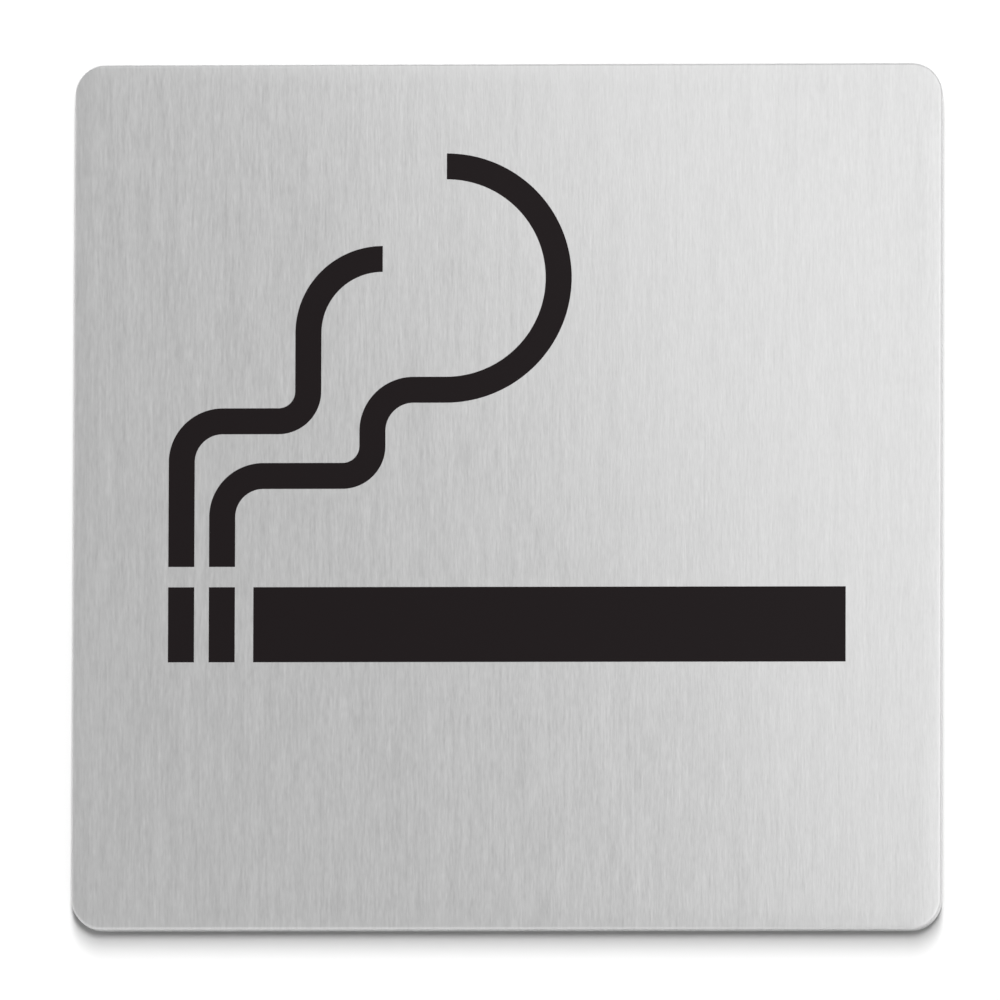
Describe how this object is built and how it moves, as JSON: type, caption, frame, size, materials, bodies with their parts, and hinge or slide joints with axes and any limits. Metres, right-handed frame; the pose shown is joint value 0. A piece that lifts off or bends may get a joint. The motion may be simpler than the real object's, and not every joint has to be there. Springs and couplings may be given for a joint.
{
  "type": "smoking permitted sign",
  "caption": "Square brushed stainless steel wall sign with rounded corners, a black inlaid pictogram of a smoking cigarette, and foam tape under release liners on its back.",
  "frame": {"origin": "under the middle of the sign, on the surface that it lies on, at the outer face of the release liners", "axes": "+Z out of the sign's face, +Y towards the top of the pictogram, +X to the right as the pictogram is read"},
  "size_m": [0.085, 0.085, 0.0041],
  "materials": {
    "brushed_stainless_steel": "satin brushed from top to bottom, with eased edges",
    "black_enamel": "satin enamel paint, baked in etched pockets and level with the steel",
    "foam_tape": "closed-cell foam with a tacky skin",
    "release_liner": "smooth glassine paper, silicone coated"
  },
  "bodies": {
    "root": {"sign_plate": "brushed_stainless_steel", "smoke_wisp_left": "black_enamel", "smoke_wisp_right": "black_enamel", "ember_bar_left": "black_enamel", "ember_bar_right": "black_enamel", "cigarette_bar": "black_enamel", "tape_strip_left": "foam_tape", "tape_strip_right": "foam_tape", "tape_liner_left": "release_liner", "tape_liner_right": "release_liner"}
  },
  "joints": []
}
